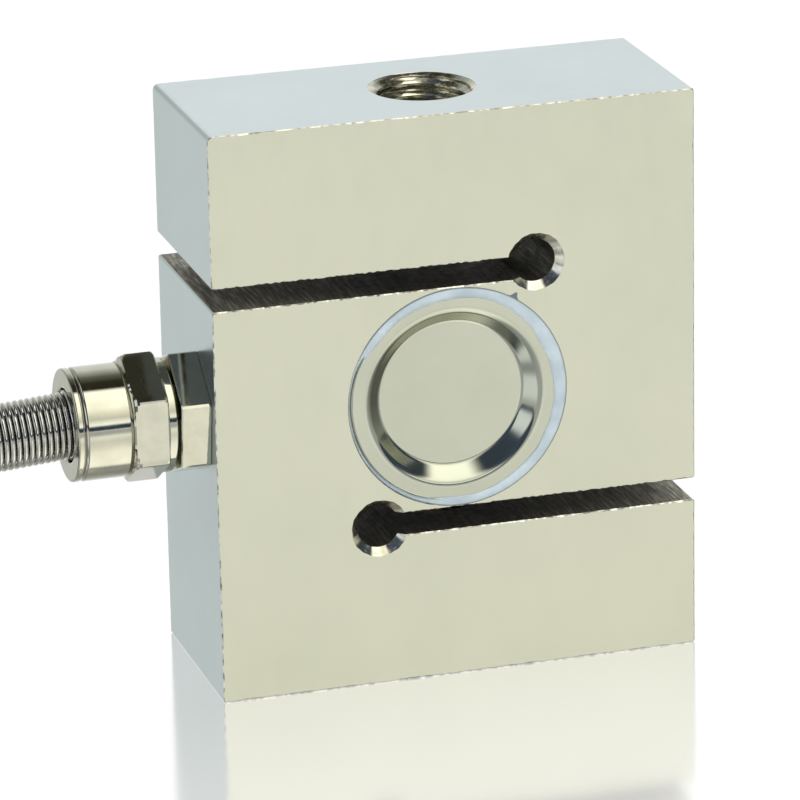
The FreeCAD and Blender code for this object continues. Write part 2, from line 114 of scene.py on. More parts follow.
class Finish:
    """A procedural material, measured in millimetres of the row frame."""

    def __init__(self, name, colour, roughness, metallic=0.0, **sockets):
        self.material = bpy.data.materials.new(name)
        self.material.use_nodes = True
        self.material.diffuse_color = (*colour, 1)
        self.tree = self.material.node_tree
        self.shader = self.tree.nodes["Principled BSDF"]
        self.set("Base Color", (*colour, 1))
        self.set("Roughness", roughness)
        self.set("Metallic", metallic)
        for socket, value in sockets.items():
            self.set(socket.replace("_", " "), value)
        self.place = self.node("TexCoord").outputs["Object"]
        self.bumps = None

    def set(self, socket, value):
        self.shader.inputs[socket].default_value = value

    def node(self, kind, inputs=(), **settings):
        return add_node(self.tree, kind, inputs, **settings)

    def axes(self, output):
        """X, Y and Z of one of the coordinate outputs, Object or Normal."""
        place = self.node("TexCoord").outputs[output]
        return self.node("SeparateXYZ", {"Vector": place}).outputs

    def scaled(self, stretch=(1, 1, 1)):
        """Position in millimetres, divided along each axis by stretch."""
        scale = [1 / (MM * part) for part in stretch]
        return self.node("Mapping", {"Vector": self.place, "Scale": scale}).outputs[0]

    def noise(self, size, stretch=(1, 1, 1), detail=3.0):
        """Noise between 0 and 1 with features of that size, in millimetres."""
        made = self.node("TexNoise", {"Vector": self.scaled(stretch), "Scale": 1 / size,
                                      "Detail": detail, "Roughness": 0.55})
        return made.outputs["Fac"]

    def spread(self, value, low, high, at=(0.3, 0.7)):
        """Value between two limits mapped on to a range of numbers."""
        made = self.node("MapRange", {"Value": value, "From Min": at[0], "From Max": at[1],
                                      "To Min": low, "To Max": high})
        return made.outputs[0]

    def tint(self, value, low, high, at=(0.3, 0.7)):
        """Value between two limits mapped on to a blend of two colours."""
        made = self.node("ValToRGB", {"Fac": value})
        ends = made.color_ramp.elements
        ends[0].position, ends[0].color = at[0], (*low, 1)
        ends[1].position, ends[1].color = at[1], (*high, 1)
        return made.outputs["Color"]

    def blend(self, amount, first, second):
        return mix(self.tree, amount, first, second)

    def link(self, socket, value):
        self.tree.links.new(value, self.shader.inputs[socket])

    def bump(self, height, depth):
        """Adds relief; depth is in millimetres."""
        inputs = {"Height": height, "Strength": 1.0, "Distance": depth * MM}
        if self.bumps:
            inputs["Normal"] = self.bumps
        self.bumps = self.node("Bump", inputs).outputs[0]
        self.link("Normal", self.bumps)


def plated_steel():
    """Satin nickel. Painted reflection makes the ground front and back faces warmer and the drawn top,
    bottom and sides of the bar cooler.
    """
    finish = Finish("plated_steel", (0.66, 0.66, 0.53), 0.3, 1.0)
    painted_light_facing = finish.node("Math", {0: finish.axes("Normal")["Y"]}, operation="ABSOLUTE").outputs[0]
    cloud = finish.noise(16, detail=2)
    # Painted reflection: a warmer tone on the faces that look forwards and back, a cooler one on all
    # others.
    warm_painted_reflection = finish.tint(cloud, (0.565, 0.57, 0.458), (0.595, 0.598, 0.483))
    cool_painted_reflection = finish.tint(cloud, (0.61, 0.69, 0.69), (0.64, 0.725, 0.73))
    finish.link("Base Color", finish.blend(finish.spread(painted_light_facing, 0, 1, (0.35, 0.75)), cool_painted_reflection, warm_painted_reflection))
    finish.link("Roughness", finish.spread(finish.noise(1.0, (1, 1, 4)), 0.275, 0.305))
    finish.bump(finish.noise(0.25, (1, 1, 5), detail=3), 0.0004)
    return finish.material


def worn_edge():
    """Broken edges of the block: bright bare metal with dark nicks, fainter near its top."""
    finish = Finish("worn_edge", (0.85, 0.84, 0.76), 0.25, 1.0)
    marks = finish.noise(0.9, detail=4)
    nicked = finish.tint(marks, (0.20, 0.195, 0.17), (0.64, 0.63, 0.56), (0.38, 0.58))
    share = finish.spread(finish.axes("Object")["Z"], 1, 0.75, (50 * MM, 60 * MM))
    finish.link("Base Color", finish.blend(share, (0.62, 0.60, 0.49, 1), nicked))
    finish.link("Roughness", finish.spread(marks, 0.42, 0.2))
    return finish.material


def sawn_steel():
    """Walls of the saw cuts: painted shade makes them near black deep inside, with the marks of the blade
    at the open end.
    """
    finish = Finish("sawn_steel", (0.10, 0.09, 0.07), 0.55, 0.85)
    outwards = finish.node("Math", {0: finish.axes("Object")["X"]}, operation="ABSOLUTE").outputs[0]
    streaks = finish.noise(0.3, (1, 14, 1), detail=5)
    marked = finish.tint(streaks, (0.22, 0.21, 0.165), (0.90, 0.87, 0.74), (0.45, 0.8))
    # Painted shade: the wall darkens to near black towards the middle of the block, away from the open
    # ends.
    finish.link("Base Color", finish.blend(finish.spread(outwards, 0.10, 1, (6 * MM, 27 * MM)),
                                           (0.026, 0.023, 0.017, 1), marked))
    finish.link("Roughness", finish.spread(finish.noise(0.8), 0.4, 0.65))
    finish.bump(finish.noise(0.22, (1, 12, 1), detail=4), 0.02)
    return finish.material


def tapped_steel():
    """Cut threads, pocket walls and countersinks, bright and blotched."""
    finish = Finish("tapped_steel", (0.60, 0.58, 0.47), 0.2, 1.0)
    finish.link("Base Color", finish.tint(finish.noise(1.0), (0.48, 0.455, 0.35), (0.76, 0.75, 0.64)))
    finish.link("Roughness", finish.spread(finish.noise(0.5), 0.12, 0.28))
    finish.bump(finish.noise(0.3, detail=3), 0.003)
    return finish.material


def polished_steel():
    """Pressed and polished stainless cup, with painted shade darkening what faces right and down."""
    finish = Finish("polished_steel", (0.455, 0.47, 0.385), 0.12, 1.0)
    axes = finish.axes("Normal")
    painted_light_facing = finish.node("Math", {0: axes["X"], 1: axes["Z"]}, operation="SUBTRACT").outputs[0]
    # Painted shade: the faces that look right and down, such as the cup's upper wall, are darkened.
    film = finish.spread(painted_light_facing, 0, 1, (0.25, 0.75))
    unshaded_tone = finish.tint(finish.noise(9), (0.44, 0.455, 0.37), (0.475, 0.49, 0.40))
    finish.link("Base Color", finish.blend(film, unshaded_tone, (0.23, 0.235, 0.175, 1)))
    finish.link("Roughness", finish.spread(finish.noise(2.5, detail=4), 0.09, 0.16))
    finish.bump(finish.noise(6.0, detail=1), 0.006)
    finish.bump(finish.noise(0.3, detail=4), 0.0004)
    return finish.material


def silicone():
    """Bluish translucent sealant, smoothed by hand, with painted shade darkening its outer rim where it
    meets the pocket's edge.
    """
    finish = Finish("silicone", (0.72, 0.79, 0.84), 0.25, Subsurface_Weight=0.3,
                    Subsurface_Scale=0.001, Transmission_Weight=0.25, IOR=1.41)
    finish.set("Subsurface Radius", (0.8, 0.95, 1.0))
    axes = finish.axes("Object")
    up = finish.node("Math", {0: axes["Z"], 1: mid * MM}, operation="SUBTRACT").outputs[0]
    flat = finish.node("CombineXYZ", {"X": axes["X"], "Y": up}).outputs[0]
    radius = finish.node("VectorMath", {0: flat}, operation="LENGTH").outputs["Value"]
    # Painted shade: the sealant darkens where it reaches the pocket's edge.
    rim = finish.spread(radius, 0, 1, ((pocket_r - 0.12) * MM, (pocket_r + 0.06) * MM))
    body = finish.tint(finish.noise(3.0), (0.52, 0.62, 0.67), (0.70, 0.81, 0.87))
    finish.link("Base Color", finish.blend(rim, body, (0.16, 0.21, 0.22, 1)))
    finish.link("Roughness", finish.spread(finish.noise(1.5), 0.36, 0.5))
    return finish.material


def plated_brass():
    """Bright nickel on turned brass, with a slightly orange-peeled surface."""
    finish = Finish("plated_brass", (0.58, 0.57, 0.46), 0.08, 1.0)
    finish.link("Base Color", finish.tint(finish.noise(2.5), (0.47, 0.465, 0.375), (0.54, 0.53, 0.435)))
    finish.link("Roughness", finish.spread(finish.noise(0.7, (0.4, 1, 1), detail=4), 0.03, 0.11))
    finish.bump(finish.noise(0.35, (0.5, 1, 1), detail=4), 0.0014)
    return finish.material


def spring_steel():
    """Bright drawn spring wire."""
    finish = Finish("spring_steel", (0.62, 0.61, 0.56), 0.16, 1.0)
    finish.link("Base Color", finish.tint(finish.noise(1.2), (0.46, 0.455, 0.40), (0.62, 0.61, 0.56)))
    finish.link("Roughness", finish.spread(finish.noise(0.4, detail=4), 0.05, 0.14))
    finish.bump(finish.noise(0.12, detail=2), 0.001)
    return finish.material


def moulded(name, colour, other, roughness, grain=0.4, relief=0.01, **sockets):
    """Plastic, rubber or film with a fine grain and slight changes of colour."""
    finish = Finish(name, colour, roughness, **sockets)
    finish.link("Base Color", finish.tint(finish.noise(grain * 5), colour, other))
    finish.link("Roughness", finish.spread(finish.noise(grain), roughness * 0.8, min(roughness * 1.2, 1)))
    finish.bump(finish.noise(grain, detail=4), relief)
    return finish.material


def bright_wire(name, colour, other, roughness):
    """Drawn metal wire, with marks along and across it."""
    finish = Finish(name, colour, roughness, 1.0)
    finish.link("Base Color", finish.tint(finish.noise(0.5), colour, other))
    finish.link("Roughness", finish.spread(finish.noise(0.2), roughness * 0.7, roughness * 1.5))
    finish.bump(finish.noise(0.1, detail=4), 0.004)
    return finish.material


def all_materials():
    """Finishes by the names of the record's material slots, and three that only the block uses."""
    return {
        "nickel_steel": plated_steel(),
        "sawn_steel": sawn_steel(),
        "worn_edge": worn_edge(),
        "tapped_steel": tapped_steel(),
        "polished_steel": polished_steel(),
        "silicone": silicone(),
        "nickel_brass": plated_brass(),
        "spring_wire": spring_steel(),
        "gauge_film": moulded("gauge_film", (0.66, 0.42, 0.13), (0.78, 0.55, 0.22), 0.35),
        "circuit_board": moulded("circuit_board", (0.06, 0.28, 0.14), (0.12, 0.40, 0.22), 0.4),
        "enamelled_copper": bright_wire("enamelled_copper", (0.62, 0.27, 0.12), (0.78, 0.42, 0.22), 0.25),
        "resistor_ceramic": moulded("resistor_ceramic", (0.09, 0.09, 0.10), (0.16, 0.16, 0.17), 0.45),
        "core_black": moulded("core_black", (0.018, 0.018, 0.018), (0.04, 0.04, 0.04), 0.35),
        "core_white": moulded("core_white", (0.78, 0.78, 0.75), (0.90, 0.90, 0.88), 0.35),
        "core_green": moulded("core_green", (0.03, 0.33, 0.11), (0.07, 0.45, 0.18), 0.35),
        "core_red": moulded("core_red", (0.60, 0.035, 0.03), (0.75, 0.08, 0.06), 0.35),
        "seal_rubber": moulded("seal_rubber", (0.03, 0.03, 0.03), (0.06, 0.06, 0.06), 0.65),
        "washer_nylon": moulded("washer_nylon", (0.72, 0.71, 0.66), (0.82, 0.81, 0.77), 0.5),
        "cable_jacket": moulded("cable_jacket", (0.022, 0.022, 0.025), (0.045, 0.045, 0.048), 0.42,
                                0.5, 0.02, Sheen_Weight=0.05),
        "tie_nylon": moulded("tie_nylon", (0.72, 0.72, 0.68), (0.84, 0.84, 0.80), 0.45),
        "shrink_sleeve": moulded("shrink_sleeve", (0.015, 0.015, 0.015), (0.035, 0.035, 0.035), 0.55),
        "tinned_copper": bright_wire("tinned_copper", (0.66, 0.66, 0.65), (0.80, 0.80, 0.79), 0.3),
    }


# ---- Mesh helpers ---------------------------------------------------------------------
def grid_faces(rows, columns, round_rows=False, round_columns=True):
    """Four-cornered faces of a grid of points numbered row by row."""
    faces = []
    for row in range(rows if round_rows else rows - 1):
        below, above = row * columns, (row + 1) % rows * columns
        for column in range(columns if round_columns else columns - 1):
            beside = (column + 1) % columns
            faces.append((below + column, below + beside, above + beside, above + column))
    return faces


def mesh_of(name, points, faces, smooth=30.0):
    """Closed mesh in metres from points in millimetres, shaded smooth below that angle."""
    mesh = bpy.data.meshes.new(name)
    mesh.from_pydata([Vector(point) * MM for point in points], [], faces)
    work = bmesh.new()
    work.from_mesh(mesh)
    bmesh.ops.recalc_face_normals(work, faces=work.faces)
    work.to_mesh(mesh)
    work.free()
    shade(mesh, smooth)
    return mesh


def shade(mesh, smooth):
    """Smooth shading across edges that turn by less than that many degrees."""
    mesh.polygons.foreach_set("use_smooth", [True] * len(mesh.polygons))
    mesh.set_sharp_from_angle(angle=math.radians(smooth))


def add_piece(name, mesh, slot, replaced=(), finishes=()):
    """Object on the part's body, with the finish of a material slot."""
    piece = bpy.data.objects.new(name, mesh)
    bpy.context.scene.collection.objects.link(piece)
    for material in [materials[slot]] + [materials[extra] for extra in finishes]:
        mesh.materials.append(material)
    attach(piece, "root")
    if replaced:
        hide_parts(*replaced)
    return piece


def ring_points(centre, axis, along, radius, steps, start=0.0):
    """Circle of points about a line along X, Y or Z; along is the place on that axis.
    radius is a number, or a function of the angle."""
    points = []
    for step in range(steps):
        angle = start + 2 * math.pi * step / steps
        out = radius(angle) if callable(radius) else radius
        first, second = out * math.cos(angle), out * math.sin(angle)
        if axis == "X":
            points.append((along, centre[1] + first, centre[2] + second))
        elif axis == "Y":
            points.append((centre[0] + first, along, centre[2] + second))
        else:
            points.append((centre[0] + first, centre[1] + second, along))
    return points


def supported(outline, closed):
    """Outline with two more points near the ends of each long run, so that it shades flat."""
    long_run, inset = 0.4, 0.04
    made = []
    for k, corner in enumerate(outline):
        here, after = Vector(corner), Vector(outline[(k + 1) % len(outline)])
        made.append(tuple(here))
        run = after - here
        if run.length > long_run and (closed or k < len(outline) - 1):
            made += [tuple(here + run.normalized() * inset), tuple(after - run.normalized() * inset)]
    return made


def turned(name, centre, axis, outline, steps=96, closed=True, smooth=30.0):
    """Outline of (along, radius) pairs turned about an axis; closed joins its ends."""
    if not any(callable(radius) for along, radius in outline):
        outline = supported(outline, closed)
    points = []
    for along, radius in outline:
        points += ring_points(centre, axis, along, radius, steps)
    faces = grid_faces(len(outline), steps, round_rows=closed)
    if not closed:
        faces.append(tuple(range(steps)))
        faces.append(tuple(range(len(points) - steps, len(points))))
    return mesh_of(name, points, faces, smooth)


def rounded(corners, radius, parts=3):
    """Closed outline with each corner cut by a small arc of about that radius."""
    made = []
    for k, corner in enumerate(corners):
        here = Vector(corner)
        before, after = Vector(corners[k - 1]) - here, Vector(corners[(k + 1) % len(corners)]) - here
        reach = min(radius, before.length * 0.4, after.length * 0.4)
        start, end = here + before.normalized() * reach, here + after.normalized() * reach
        for part in range(parts + 1):
            t = part / parts
            made.append(tuple(start * (1 - t) ** 2 + here * 2 * t * (1 - t) + end * t ** 2))
    return made


def swept(name, path, radius, sides):
    """Round bar along a list of points."""
    points = []
    across = None
    for k, point in enumerate(path):
        run = (path[min(k + 1, len(path) - 1)] - path[max(k - 1, 0)]).normalized()
        across = across or run.orthogonal()
        across = (across - run * across.dot(run)).normalized()
        up = run.cross(across)
        for step in range(sides):
            angle = 2 * math.pi * step / sides
            points.append(point + (across * math.cos(angle) + up * math.sin(angle)) * radius)
    faces = grid_faces(len(path), sides)
    faces += [tuple(range(sides)), tuple(range(len(points) - sides, len(points)))]
    return mesh_of(name, points, faces, 60)


def cut(mesh, cutter):
    """Mesh less another closed mesh."""
    body = bpy.data.objects.new("cut_body", mesh)
    tool = bpy.data.objects.new("cut_tool", cutter)
    for thing in (body, tool):
        bpy.context.scene.collection.objects.link(thing)
    modifier = body.modifiers.new("cut", "BOOLEAN")
    modifier.operation, modifier.solver, modifier.object = "DIFFERENCE", "EXACT", tool
    bpy.context.view_layer.update()
    made = bpy.data.meshes.new_from_object(body.evaluated_get(bpy.context.evaluated_depsgraph_get()))
    for thing in (body, tool):
        bpy.data.objects.remove(thing)
    return made


# ---- Spring element -------------------------------------------------------------------
def slot_z(sign):
    """Height of a saw cut's middle; sign is 1 for the upper cut."""
    return mid + sign * (slot_near + slot / 2)


def relief_z(sign):
    """Height of the relief hole's axis at the end of a saw cut."""
    return slot_z(sign) + (upper_lift if sign > 0 else -lower_drop)


def straight(start, end, step):
    """Points from start up to, and without, end."""
    start, end = Vector(start), Vector(end)
    count = max(1, round((end - start).length / step))
    return [start.lerp(end, k / count) for k in range(count)]


def relief_arc(sign):
    """Relief hole's wall from one lip of its saw cut round to the other."""
    centre_x, centre_z = sign * relief_reach, relief_z(sign)
    lips = [mid + sign * (slot_near + slot), mid + sign * slot_near]
    angles = []
    for lip in lips:
        rise = lip - centre_z
        angles.append(math.atan2(rise, -sign * math.sqrt(relief_r ** 2 - rise ** 2)))
    first, last = angles
    while last > first:
        last -= 2 * math.pi
    count = 30
    return [Vector((centre_x + relief_r * math.cos(first + (last - first) * k / count),
                    centre_z + relief_r * math.sin(first + (last - first) * k / count)))
            for k in range(count + 1)]


def s_outline():
    """Front outline of the block as (x, z) points, with its corners and saw cuts, and
    for each point how ragged its edge is: 1 for a saw cut and 0 for an outer edge."""
    right = -side
    upper, lower = relief_arc(1), relief_arc(-1)
    lower_lips = (arm, arm + slot)
    upper_lips = (top - arm, top - arm - slot)
    runs = [((side, 0), (right, 0), 0), ((right, 0), (right, lower_lips[0]), 0),
            ((right, lower_lips[0]), lower[0], 1), (lower, None, 1),
            (lower[-1], (right, lower_lips[1]), 1), ((right, lower_lips[1]), (right, top), 0),
            ((right, top), (side, top), 0), ((side, top), (side, upper_lips[0]), 0),
            ((side, upper_lips[0]), upper[0], 1), (upper, None, 1),
            (upper[-1], (side, upper_lips[1]), 1), ((side, upper_lips[1]), (side, 0), 0)]
    ragged_step, outer_step = 0.25, 0.6
    points, ragged = [], []
    for start, end, rough in runs:
        stretch = start[:-1] if end is None else straight(start, end, ragged_step if rough else outer_step)
        points += stretch
        ragged += [rough] * len(stretch)
    # How far each sharp corner's rounding reaches; the upper left one is rounder than the rest.
    corners = {}
    for k, point in enumerate(points):
        if (point - points[k - 1]).angle(points[(k + 1) % len(points)] - point) > corner_turn:
            corners[k] = upper_left_reach if point.y > top - 1 and point.x < 0 else corner_reach
    made, rough_made = [], []
    for k, point in enumerate(points):
        if k not in corners:
            if all((point - points[corner]).length > reach for corner, reach in corners.items()):
                made.append(point)
                rough_made.append(ragged[k])
            continue
        before, after, reach = points[k - 1], points[(k + 1) % len(points)], corners[k]
        start = point + (before - point).normalized() * reach
        end = point + (after - point).normalized() * reach
        for part in range(corner_parts + 1):
            t = part / corner_parts
            made.append(start * (1 - t) ** 2 + point * 2 * t * (1 - t) + end * t ** 2)
            rough_made.append(0)
    return made, rough_made


def edge_wear(x, z, y, ragged):
    """Width of the broken edge at a place, in millimetres. It stays narrower than the
    rounding of the corners, so that the rings round the block's faces don't cross."""
    place = Vector((x, y, z))
    fine = noise.noise(place * (2.0 if ragged else 1.9))
    coarse = noise.noise(place * 0.35 + Vector((7, 3, 5)))
    least, fine_part, coarse_part = (0.04, 0.18, 0.06) if ragged else (0.05, 0.12, 0.08)
    return min(edge_most, max(least, edge_middle + fine_part * fine + coarse_part * coarse))


def block_mesh():
    """The S outline carried through the block in rings, with worn edges all round. Each
    end has a ring on either side of its broken edge, so that the faces shade flat."""
    points, ragged = s_outline()
    count = len(points)
    inwards = []
    for k in range(count):
        run = points[(k + 1) % count] - points[k - 1]
        inwards.append(Vector((-run.y, run.x)).normalized())
    band, rows = 1.0, 20
    levels = [-face + band + k * (2 * face - 2 * band) / rows for k in range(rows + 1)]
    support = 0.05
    rings = []
    for sign in (-1, 1):
        ends = []
        for inset, sink, inner, deeper in ((1.0, 0.0, support, 0.0), (1.0, 0.0, 0.0, 0.0),
                                           (0.0, 1.0, 0.0, 0.0), (0.0, 1.0, 0.0, support)):
            ring = []
            for k, (x, z) in enumerate(points):
                wear = edge_wear(x, z, sign * face, ragged[k])
                place = points[k] + inwards[k] * (wear * inset + inner)
                ring.append((place.x, sign * (face - wear * sink - deeper), place.y))
            ends.append(ring)
        rings.append(ends)
    middle = [[(x, level, z) for x, z in points] for level in levels]
    stack = rings[0] + middle + rings[1][::-1]
    vertices = [point for ring in stack for point in ring]
    faces = grid_faces(len(stack), count)
    for first, flip in ((0, 1), (len(vertices) - count, -1)):
        flat = [Vector((v[0], v[2], 0)) for v in vertices[first:first + count]]
        faces += [tuple(first + k for k in triangle[::flip])
                  for triangle in geometry.tessellate_polygon([flat])]
    return mesh_of("block", vertices, faces, 26)


def thread_cutter(mouth, inwards):
    """Male thread with a countersunk mouth, from above the face into the saw cut."""
    steps, rows_per_turn = 64, 10
    above, mouth_slope, clear = 1.0, 1.8, 0.03
    long = arm + slot / 2
    rows = round((long + above) / thread_pitch * rows_per_turn)
    points = []
    for row in range(rows + 1):
        deep = (long + above) * row / rows - above
        z = mouth + inwards * deep
        for step in range(steps):
            angle = 2 * math.pi * step / steps
            phase = (z / thread_pitch - angle / (2 * math.pi)) % 1
            ridge = min(1.0, max(0.0, 1.6 * (1 - abs(2 * phase - 1)) - 0.2))
            radius = thread_root_r + (thread_r - thread_root_r) * ridge
            radius = max(radius, thread_mouth_r - mouth_slope * max(deep, 0.0) + clear)
            points.append((radius * math.cos(angle), radius * math.sin(angle), z))
    faces = grid_faces(rows + 1, steps)
    faces += [tuple(range(steps)), tuple(range(len(points) - steps, len(points)))]
    return mesh_of("thread", points, faces)


def chatter(angle):
    """Radius of a countersink cut by a tool that shook a little."""
    return relief_mouth_r + 0.05 + 0.03 * math.sin(19 * angle) + 0.03 * math.sin(7 * angle + 1)


def block():
    """The S block with its pockets, threads, gland hole and countersinks cut out."""
    mesh = block_mesh()
    for sign in (-1, 1):
        pocket = [(sign * (face + 1), pocket_r + 0.1), (sign * (face - 0.02), pocket_r + 0.1),
                  (sign * (face - 0.2), pocket_r), (sign * web / 2, pocket_r)]
        mesh = cut(mesh, turned("pocket", (0, 0, mid), "Y", pocket, 128, closed=False))
    mesh = cut(mesh, thread_cutter(top, -1))
    mesh = cut(mesh, thread_cutter(0, 1))
    hole = [(side - 1, gland_thread_r), (side + gland_thread_long + 0.5, gland_thread_r)]
    mesh = cut(mesh, turned("gland_hole", (0, gland_y, gland_z), "X", hole, 64, closed=False))
    mouth = relief_mouth_r - relief_r + 0.1
    for sign in (-1, 1):
        centre = (sign * relief_reach, 0, relief_z(sign))
        for front in (-1, 1):
            sink = [(front * (face + 0.5), chatter), (front * (face - 0.01), chatter),
                    (front * (face - mouth), relief_r - 0.1)]
            mesh = cut(mesh, turned("countersink", centre, "Y", sink, 76, closed=False))
    shade(mesh, 26)
    finishes = ["sawn_steel", "tapped_steel", "worn_edge"]
    piece = add_piece("block", mesh, "nickel_steel", ["spring_element"], finishes)
    for polygon in mesh.polygons:
        x, y, z = polygon.center / MM
        polygon.material_index = block_finish(x, y, z, polygon.normal)
        if abs(polygon.normal.y) > 0.9995:
            polygon.use_smooth = False
    return piece


def block_finish(x, y, z, normal):
    """0 for plated faces, 1 for walls of a saw cut and the deeper walls of the relief holes, which carry
    painted shade, 2 for drilled and tapped walls, 3 for broken edges.
    """
    deep = face - abs(y)
    for sign in (-1, 1):
        in_relief = math.hypot(x - sign * relief_reach, z - relief_z(sign)) < relief_mouth_r + 0.15
        if in_relief and deep > 0.02:
            # Deeper than a millimetre, a relief hole's wall takes the saw cut's finish with its painted
            # shade.
            return 2 if deep < 1.0 else 1
        in_slot = abs(z - slot_z(sign)) < slot / 2 + 0.02 and sign * x < relief_reach
        if in_slot and deep > 0.3 and abs(normal.z) > 0.7:
            return 1
    in_thread = math.hypot(x, y) < thread_mouth_r + 0.1 and (z < arm or z > top - arm)
    if in_thread and abs(normal.z) < 0.999:
        return 2
    if math.hypot(x, z - mid) < pocket_r + 0.05 and deep > 0.25:
        return 2
    if deep < 0.7 and 0.2 < abs(normal.y) < 0.98:
        return 3
    return 0


# ---- Seals ----------------------------------------------------------------------------
def seal_cup(name, sign):
    """Pressed cup with rounded bends; sign is -1 for the front."""
    outer, floor = cup_r, cup_floor_deep
    section = [(0.02, floor), (cup_floor_r, floor), (cup_rim_r, 0.0), (outer, 0.0), (outer, cup_skirt),
               (outer - cup_sheet, cup_skirt), (outer - cup_sheet, cup_sheet),
               (cup_rim_r + 0.3, cup_sheet), (cup_floor_r + 0.3, floor + cup_sheet),
               (0.02, floor + cup_sheet)]
    bends = [0.0, 0.3, 0.6, 0.35, 0.0, 0.0, 0.2, 0.5, 0.5, 0.0]
    parts = 6
    outline = []
    for k, (corner, bend) in enumerate(zip(section, bends)):
        if bend:
            # Of the three rounded corners only the middle one's arc is taken.
            trio = [section[k - 1], corner, section[(k + 1) % len(section)]]
            outline += rounded(trio, bend, parts)[parts + 1:2 * parts + 2]
        else:
            outline.append(corner)
    flange = sign * (face - cup_set_in)
    along = [(flange - sign * deep, radius) for radius, deep in outline]
    mesh = turned(name, (-cup_aside, 0, mid), "Y", along, 160, closed=True, smooth=28)
    return add_piece(name, mesh, "polished_steel", [name.replace("_cover", "_seal_cup")])


def bead_shape(angle, sign):
    """Inner radius and height of the sealant at an angle, and how far it is smeared outwards.
    Angles run from the right over the top, as seen from the front."""
    spot = Vector((math.cos(angle), math.sin(angle), sign * 3.0))
    wander = noise.noise(spot * 2.6) * 0.22 + noise.noise(spot * 9.0) * 0.07
    degrees = math.degrees(angle) % 360
    # Little of it is left from 152 to 258 degrees, at the lower left, and most is at 25 degrees.
    missing = 1 / (1 + math.exp((152 - degrees) / 4)) / (1 + math.exp((degrees - 258) / 6))
    swell = math.exp(-(((degrees + 180) % 360 - 205) / 32) ** 2)
    inner = 12.45 + wander + 0.75 * missing - 0.55 * swell
    ripple = 0.85 + 0.15 * math.sin(5 * angle + noise.noise(spot * 3))
    high = (sealant_proud - 0.01) * ripple - 0.6 * missing
    smear = 0.8 * math.exp(-((degrees - 58.5) / 1.3) ** 2)
    return inner, high, smear


def bead_section(angle, sign):
    """Section of the sealant at an angle, as (radius, distance from the web's middle)."""
    inner, high, smear = bead_shape(angle, sign)
    outer = pocket_r + 0.10 + smear
    wide = outer - inner
    low, crest = face - cup_set_in + 0.02, face + high
    return [(inner, low - 0.05), (inner, low + 0.03), (inner + 0.22 * wide, crest - 0.03),
            (inner + 0.5 * wide, crest), (inner + 0.8 * wide, crest - 0.02),
            (outer, face + 0.02 + min(0.2 * high, high)), (pocket_r, face - 0.15),
            (pocket_r, face - sealant_deep), (cup_r + 0.02, face - sealant_deep)]


def sealant(name, sign):
    """Hand-laid bead between the cup and the pocket's wall."""
    steps = 360
    angles = [2 * math.pi * step / steps for step in range(steps)]
    sections = [bead_section(angle, sign) for angle in angles]
    points = []
    for row in zip(*sections):
        for angle, (radius, along) in zip(angles, row):
            points.append((radius * math.cos(angle), sign * along, mid + radius * math.sin(angle)))
    faces = grid_faces(len(sections[0]), steps, round_rows=True)
    mesh = mesh_of(name, points, faces, 50)
    return add_piece(name, mesh, "silicone", [name])


# ---- Gland ----------------------------------------------------------------------------
def hex_radius(across, turn, angle):
    """Distance from the axis to a hexagon's edge; turn is in degrees from a corner on top."""
    from_flat = (math.degrees(angle) - 90 - turn + 30) % 60 - 30
    return across / 2 / math.cos(math.radians(30 - abs(from_flat)))


def hex_solid(name, across, turn, stations, bore):
    """Hexagon along X. Each station is (x, inset of the flats, largest radius)."""
    steps = 144
    points = []
    for x, inset, limit in stations:
        for step in range(steps):
            angle = 2 * math.pi * (step + 0.5) / steps
            wear = 0.03 * noise.noise(Vector((x * 2, 9 * math.cos(angle), 9 * math.sin(angle))))
            radius = min(hex_radius(across - 2 * inset, turn, angle), limit + wear)
            points.append((x, gland_y + radius * math.cos(angle), gland_z + radius * math.sin(angle)))
    for x in (stations[-1][0], stations[0][0]):
        for step in range(steps):
            angle = 2 * math.pi * (step + 0.5) / steps
            points.append((x, gland_y + bore * math.cos(angle), gland_z + bore * math.sin(angle)))
    return mesh_of(name, points, grid_faces(len(stations) + 2, steps, round_rows=True), 14)


def gland_body():
    """Hexagon that screws into the block, its collar, stem and spigot."""
    corner = body_hex / math.sqrt(3) - 0.05
    ends = [(side - 0.01, 0.12, corner - 0.12), (side - 0.13, 0.0, corner),
            (body_hex_end + 0.15, 0.0, corner), (body_hex_end, 0.15, corner - 0.2)]
    hexagon = hex_solid("gland_hexagon", body_hex, body_hex_turn, ends, gland_thread_r)
    add_piece("gland_hexagon", hexagon, "nickel_brass", ["gland_body"])
    collar = rounded([(body_hex_end + 0.05, gland_thread_r), (body_hex_end + 0.05, collar_r - 0.9),
                      (body_hex_end - 0.25, collar_r - 0.45), (body_hex_end - 0.45, collar_r),
                      (collar_end, collar_r), (collar_end, gland_thread_r - 0.5)], 0.12)
    collar_mesh = turned("gland_collar", (0, gland_y, gland_z), "X", collar, 144, closed=True, smooth=35)
    add_piece("gland_collar", collar_mesh, "nickel_brass")
    stem = [(side + gland_thread_long, 3.3), (side + gland_thread_long, gland_thread_r - 0.5)]
    ridges, pitch = 9, 0.78
    for k in range(ridges):
        x = side + gland_thread_long - 0.3 - k * pitch
        stem += [(x, gland_thread_r - 0.03), (x - pitch / 2, gland_thread_r - 0.45)]
    stem += [(side, gland_thread_r - 0.03), (body_hex_end, gland_thread_r - 0.03), (collar_end, spigot_r),
             (spigot_end, spigot_r), (spigot_end, 4.8), (side - 1.0, 4.8), (side - 1.0, 3.3)]
    add_piece("gland_stem", turned("gland_stem", (0, gland_y, gland_z), "X", stem, 72, closed=True),
              "nickel_brass")


